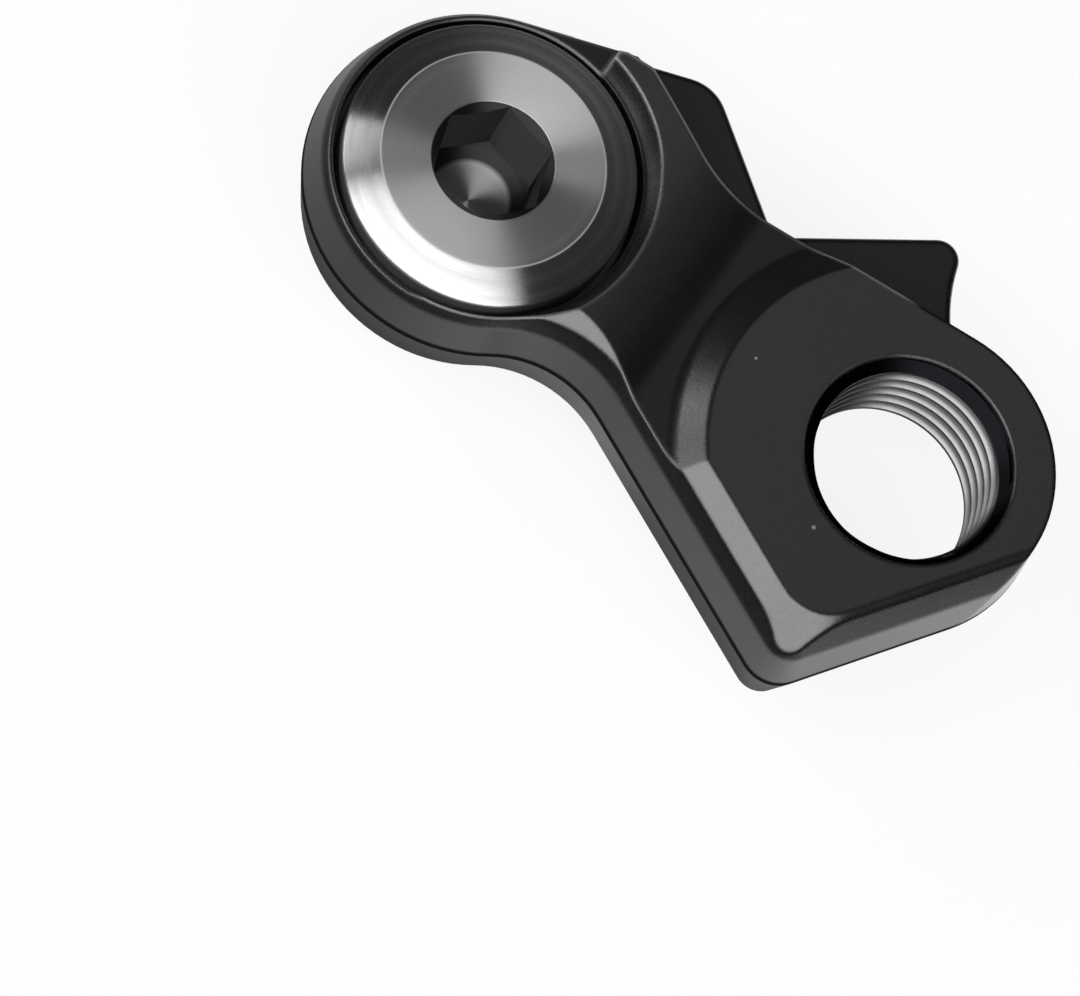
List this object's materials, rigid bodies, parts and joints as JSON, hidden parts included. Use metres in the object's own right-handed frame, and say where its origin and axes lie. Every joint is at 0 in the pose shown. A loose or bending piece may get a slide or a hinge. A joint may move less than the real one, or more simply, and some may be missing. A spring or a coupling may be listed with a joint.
{
  "type": "bicycle derailleur hanger",
  "caption": "Forged link that hangs a rear derailleur from a bicycle frame: a hex-socket fixing bolt sits in the eye, and a threaded axle hole takes the derailleur.",
  "frame": {"origin": "on the axis of the fixing bolt, in the plane of the seat that lies against the bicycle frame", "axes": "+Z along the fixing bolt towards its head, +X from the fixing bolt towards the axle hole, +Y towards the stop lug and the horn"},
  "size_m": [0.0393, 0.0237, 0.0129],
  "materials": {
    "black_forging": "black anodised, satin",
    "bolt_steel": "turned, bare"
  },
  "bodies": {
    "bracket": {"bracket": "black_forging"},
    "hanger_bolt": {"hanger_bolt": "bolt_steel"}
  },
  "joints": [
    {"name": "bolt_turn", "type": "hinge", "parent": "bracket", "child": "hanger_bolt", "pos_m": [0, 0, 0], "axis": [0, 0, 1], "continuous": true}
  ]
}
